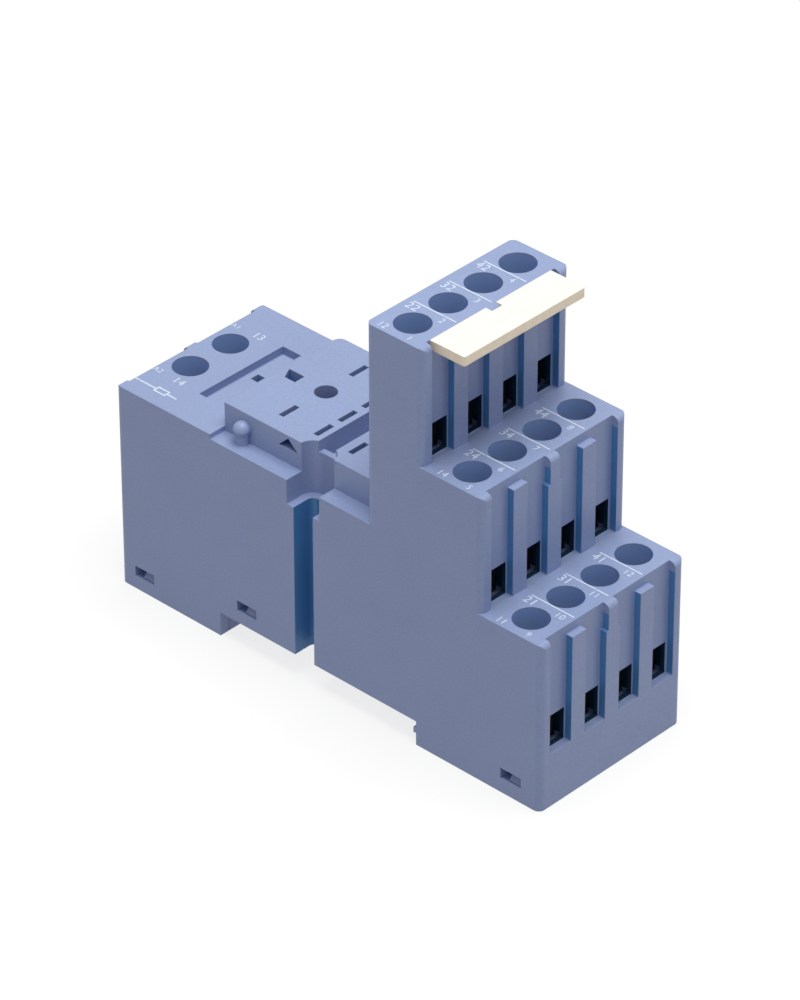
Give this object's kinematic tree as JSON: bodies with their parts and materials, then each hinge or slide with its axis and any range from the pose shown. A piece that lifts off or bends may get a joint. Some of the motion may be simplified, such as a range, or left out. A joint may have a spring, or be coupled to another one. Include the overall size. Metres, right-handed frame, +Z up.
{
  "type": "relay socket",
  "caption": "Plug-in relay socket with stepped rising-cage screw terminals, coil terminals at the low end, marker plate and spring-loaded rail latch.",
  "frame": {"origin": "centre of the footprint, on the face that sits against a panel", "axes": "+X from the coil block to the stepped end, +Z up out of the panel, +Y across, away from the side that the picture shows"},
  "size_m": [0.0766, 0.0274, 0.0617],
  "materials": {
    "housing_plastic": "satin, moulded, blue-grey",
    "cover_plastic": "satin, moulded, blue-grey",
    "marker_plastic": "satin white",
    "latch_plastic": "matt black",
    "spring_steel": "flat spring steel",
    "screw_steel": "zinc plated",
    "cage_steel": "zinc plated",
    "strip_brass": "bright"
  },
  "bodies": {
    "socket": {"housing": "housing_plastic", "base_cover": "cover_plastic", "marker_plate": "marker_plastic", "latch_spring": "spring_steel", "contact_strip_1_1": "strip_brass", "contact_strip_1_2": "strip_brass", "contact_strip_1_3": "strip_brass", "contact_strip_1_4": "strip_brass", "contact_strip_2_1": "strip_brass", "contact_strip_2_2": "strip_brass", "contact_strip_2_3": "strip_brass", "contact_strip_2_4": "strip_brass", "contact_strip_3_1": "strip_brass", "contact_strip_3_2": "strip_brass", "contact_strip_3_3": "strip_brass", "contact_strip_3_4": "strip_brass", "contact_strip_coil_1": "strip_brass", "contact_strip_coil_2": "strip_brass"},
    "latch": {"rail_latch": "latch_plastic"},
    "screw_1_1": {"terminal_screw_1_1": "screw_steel"},
    "cage_1_1": {"clamp_cage_1_1": "cage_steel"},
    "screw_1_2": {"terminal_screw_1_2": "screw_steel"},
    "cage_1_2": {"clamp_cage_1_2": "cage_steel"},
    "screw_1_3": {"terminal_screw_1_3": "screw_steel"},
    "cage_1_3": {"clamp_cage_1_3": "cage_steel"},
    "screw_1_4": {"terminal_screw_1_4": "screw_steel"},
    "cage_1_4": {"clamp_cage_1_4": "cage_steel"},
    "screw_2_1": {"terminal_screw_2_1": "screw_steel"},
    "cage_2_1": {"clamp_cage_2_1": "cage_steel"},
    "screw_2_2": {"terminal_screw_2_2": "screw_steel"},
    "cage_2_2": {"clamp_cage_2_2": "cage_steel"},
    "screw_2_3": {"terminal_screw_2_3": "screw_steel"},
    "cage_2_3": {"clamp_cage_2_3": "cage_steel"},
    "screw_2_4": {"terminal_screw_2_4": "screw_steel"},
    "cage_2_4": {"clamp_cage_2_4": "cage_steel"},
    "screw_3_1": {"terminal_screw_3_1": "screw_steel"},
    "cage_3_1": {"clamp_cage_3_1": "cage_steel"},
    "screw_3_2": {"terminal_screw_3_2": "screw_steel"},
    "cage_3_2": {"clamp_cage_3_2": "cage_steel"},
    "screw_3_3": {"terminal_screw_3_3": "screw_steel"},
    "cage_3_3": {"clamp_cage_3_3": "cage_steel"},
    "screw_3_4": {"terminal_screw_3_4": "screw_steel"},
    "cage_3_4": {"clamp_cage_3_4": "cage_steel"},
    "screw_coil_1": {"terminal_screw_coil_1": "screw_steel"},
    "cage_coil_1": {"clamp_cage_coil_1": "cage_steel"},
    "screw_coil_2": {"terminal_screw_coil_2": "screw_steel"},
    "cage_coil_2": {"clamp_cage_coil_2": "cage_steel"}
  },
  "joints": [
    {"name": "latch_slide", "type": "slide", "parent": "socket", "child": "latch", "axis": [-1, 0, 0], "range_m": [0, 0.0013], "stiffness_N_per_m": 300, "springref_m": -0.005, "deforming": ["latch_spring"]},
    {"name": "screw_turn_1_1", "type": "hinge", "parent": "socket", "child": "screw_1_1", "pos_m": [0.03295, -0.00983, 0.01915], "axis": [0, 0, -1], "range_deg": [0, 2520]},
    {"name": "cage_lift_1_1", "type": "slide", "parent": "socket", "child": "cage_1_1", "axis": [0, 0, 1], "range_m": [0, 0.0035]},
    {"name": "screw_turn_1_2", "type": "hinge", "parent": "socket", "child": "screw_1_2", "pos_m": [0.03295, -0.00328, 0.01915], "axis": [0, 0, -1], "range_deg": [0, 2520]},
    {"name": "cage_lift_1_2", "type": "slide", "parent": "socket", "child": "cage_1_2", "axis": [0, 0, 1], "range_m": [0, 0.0035]},
    {"name": "screw_turn_1_3", "type": "hinge", "parent": "socket", "child": "screw_1_3", "pos_m": [0.03295, 0.00328, 0.01915], "axis": [0, 0, -1], "range_deg": [0, 2520]},
    {"name": "cage_lift_1_3", "type": "slide", "parent": "socket", "child": "cage_1_3", "axis": [0, 0, 1], "range_m": [0, 0.0035]},
    {"name": "screw_turn_1_4", "type": "hinge", "parent": "socket", "child": "screw_1_4", "pos_m": [0.03295, 0.00983, 0.01915], "axis": [0, 0, -1], "range_deg": [0, 2520]},
    {"name": "cage_lift_1_4", "type": "slide", "parent": "socket", "child": "cage_1_4", "axis": [0, 0, 1], "range_m": [0, 0.0035]},
    {"name": "screw_turn_2_1", "type": "hinge", "parent": "socket", "child": "screw_2_1", "pos_m": [0.02262, -0.00983, 0.0369], "axis": [0, 0, -1], "range_deg": [0, 2520]},
    {"name": "cage_lift_2_1", "type": "slide", "parent": "socket", "child": "cage_2_1", "axis": [0, 0, 1], "range_m": [0, 0.0035]},
    {"name": "screw_turn_2_2", "type": "hinge", "parent": "socket", "child": "screw_2_2", "pos_m": [0.02262, -0.00328, 0.0369], "axis": [0, 0, -1], "range_deg": [0, 2520]},
    {"name": "cage_lift_2_2", "type": "slide", "parent": "socket", "child": "cage_2_2", "axis": [0, 0, 1], "range_m": [0, 0.0035]},
    {"name": "screw_turn_2_3", "type": "hinge", "parent": "socket", "child": "screw_2_3", "pos_m": [0.02262, 0.00328, 0.0369], "axis": [0, 0, -1], "range_deg": [0, 2520]},
    {"name": "cage_lift_2_3", "type": "slide", "parent": "socket", "child": "cage_2_3", "axis": [0, 0, 1], "range_m": [0, 0.0035]},
    {"name": "screw_turn_2_4", "type": "hinge", "parent": "socket", "child": "screw_2_4", "pos_m": [0.02262, 0.00983, 0.0369], "axis": [0, 0, -1], "range_deg": [0, 2520]},
    {"name": "cage_lift_2_4", "type": "slide", "parent": "socket", "child": "cage_2_4", "axis": [0, 0, 1], "range_m": [0, 0.0035]},
    {"name": "screw_turn_3_1", "type": "hinge", "parent": "socket", "child": "screw_3_1", "pos_m": [0.01229, -0.00983, 0.05465], "axis": [0, 0, -1], "range_deg": [0, 2520]},
    {"name": "cage_lift_3_1", "type": "slide", "parent": "socket", "child": "cage_3_1", "axis": [0, 0, 1], "range_m": [0, 0.0035]},
    {"name": "screw_turn_3_2", "type": "hinge", "parent": "socket", "child": "screw_3_2", "pos_m": [0.01229, -0.00328, 0.05465], "axis": [0, 0, -1], "range_deg": [0, 2520]},
    {"name": "cage_lift_3_2", "type": "slide", "parent": "socket", "child": "cage_3_2", "axis": [0, 0, 1], "range_m": [0, 0.0035]},
    {"name": "screw_turn_3_3", "type": "hinge", "parent": "socket", "child": "screw_3_3", "pos_m": [0.01229, 0.00328, 0.05465], "axis": [0, 0, -1], "range_deg": [0, 2520]},
    {"name": "cage_lift_3_3", "type": "slide", "parent": "socket", "child": "cage_3_3", "axis": [0, 0, 1], "range_m": [0, 0.0035]},
    {"name": "screw_turn_3_4", "type": "hinge", "parent": "socket", "child": "screw_3_4", "pos_m": [0.01229, 0.00983, 0.05465], "axis": [0, 0, -1], "range_deg": [0, 2520]},
    {"name": "cage_lift_3_4", "type": "slide", "parent": "socket", "child": "cage_3_4", "axis": [0, 0, 1], "range_m": [0, 0.0035]},
    {"name": "screw_turn_coil_1", "type": "hinge", "parent": "socket", "child": "screw_coil_1", "pos_m": [-0.0341, -0.0038, 0.0248], "axis": [0, 0, -1], "range_deg": [0, 2520]},
    {"name": "cage_lift_coil_1", "type": "slide", "parent": "socket", "child": "cage_coil_1", "axis": [0, 0, 1], "range_m": [0, 0.0035]},
    {"name": "screw_turn_coil_2", "type": "hinge", "parent": "socket", "child": "screw_coil_2", "pos_m": [-0.0341, 0.0038, 0.0248], "axis": [0, 0, -1], "range_deg": [0, 2520]},
    {"name": "cage_lift_coil_2", "type": "slide", "parent": "socket", "child": "cage_coil_2", "axis": [0, 0, 1], "range_m": [0, 0.0035]}
  ],
  "couplings": [
    {"joint": "screw_turn_1_1", "follows": "cage_lift_1_1", "rad_per_m": 12566},
    {"joint": "screw_turn_1_2", "follows": "cage_lift_1_2", "rad_per_m": 12566},
    {"joint": "screw_turn_1_3", "follows": "cage_lift_1_3", "rad_per_m": 12566},
    {"joint": "screw_turn_1_4", "follows": "cage_lift_1_4", "rad_per_m": 12566},
    {"joint": "screw_turn_2_1", "follows": "cage_lift_2_1", "rad_per_m": 12566},
    {"joint": "screw_turn_2_2", "follows": "cage_lift_2_2", "rad_per_m": 12566},
    {"joint": "screw_turn_2_3", "follows": "cage_lift_2_3", "rad_per_m": 12566},
    {"joint": "screw_turn_2_4", "follows": "cage_lift_2_4", "rad_per_m": 12566},
    {"joint": "screw_turn_3_1", "follows": "cage_lift_3_1", "rad_per_m": 12566},
    {"joint": "screw_turn_3_2", "follows": "cage_lift_3_2", "rad_per_m": 12566},
    {"joint": "screw_turn_3_3", "follows": "cage_lift_3_3", "rad_per_m": 12566},
    {"joint": "screw_turn_3_4", "follows": "cage_lift_3_4", "rad_per_m": 12566},
    {"joint": "screw_turn_coil_1", "follows": "cage_lift_coil_1", "rad_per_m": 12566},
    {"joint": "screw_turn_coil_2", "follows": "cage_lift_coil_2", "rad_per_m": 12566}
  ]
}
